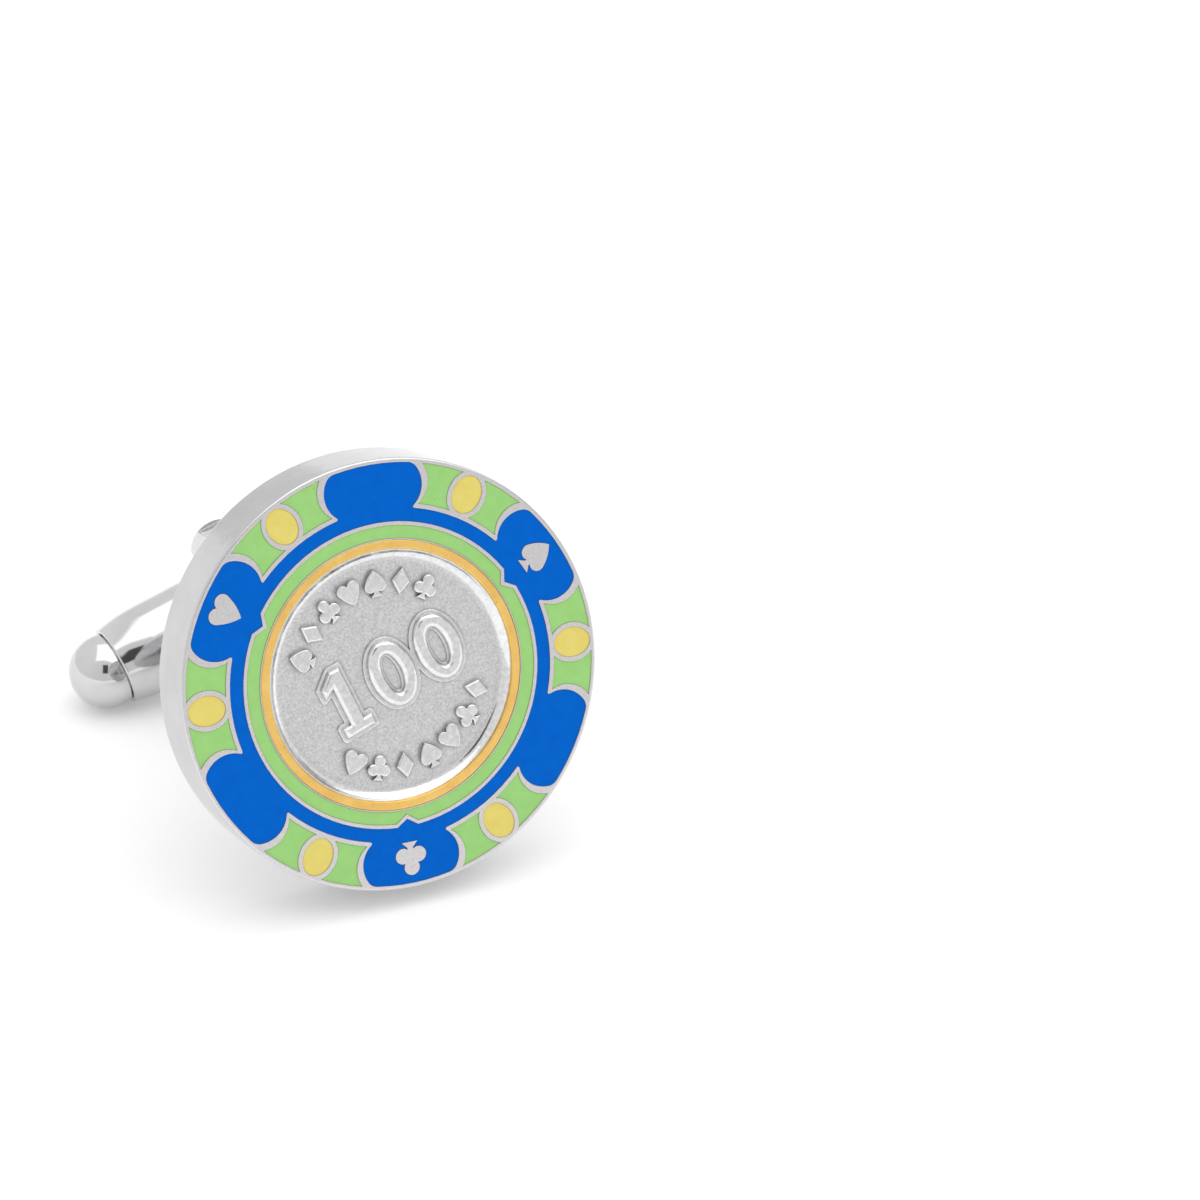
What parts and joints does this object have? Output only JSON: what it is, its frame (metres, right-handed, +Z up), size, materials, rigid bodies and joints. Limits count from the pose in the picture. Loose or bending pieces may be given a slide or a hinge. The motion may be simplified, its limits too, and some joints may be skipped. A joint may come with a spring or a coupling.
{
  "type": "cufflink",
  "caption": "Round enamelled cufflink, leaning back as it rests on a table: flat disc head with a relief centre, forked post and a ball-ended bar toggle that swivels to lock behind a cuff.",
  "frame": {"origin": "on the table plane, under the middle of the bounding box, with the cufflink lying as it rests on three points: the back edge of the head, the end of the lower leg and the left ball of the toggle on the plane z = 0", "axes": "+Z up; the face looks to -Y and leans back by 18.42 degrees; the post runs to +Y and down; the toggle lies along X and its left end is low, at -X, where it rises towards +X by 16.08 degrees"},
  "size_m": [0.019, 0.0242, 0.0189],
  "materials": {
    "polished_metal": "polished rhodium-like plating",
    "textured_metal": "bright plating with a fine struck grid",
    "struck_centre": "fine sand-blasted field with polished relief",
    "gold": "gold-coloured, fine grain",
    "blue": "flat polished enamel",
    "green": "flat polished enamel",
    "yellow": "flat polished enamel",
    "solder": "plated solder",
    "spring_steel": "bare spring strip"
  },
  "bodies": {
    "head_and_post": {"head_body": "polished_metal", "back_plate": "textured_metal", "centre_medallion": "struck_centre", "gold_ring": "gold", "blue_enamel": "blue", "green_cell_enamel": "green", "yellow_oval_enamel": "yellow", "green_ring_enamel": "green", "post_fork": "polished_metal", "braze_fillet": "solder", "pivot_pin": "polished_metal"},
    "toggle": {"toggle_barrel": "polished_metal", "end_cap_left": "polished_metal", "end_cap_right": "polished_metal", "detent_leaf_front": "spring_steel", "detent_leaf_rear": "spring_steel"}
  },
  "joints": [
    {"name": "toggle_swivel", "type": "hinge", "parent": "head_and_post", "child": "toggle", "pos_m": [0, 0.0093, 0.00383], "axis": [-0.2919, 0.3023, 0.9074], "range_deg": [-90, 90], "deforming": ["detent_leaf_front", "detent_leaf_rear"]}
  ]
}
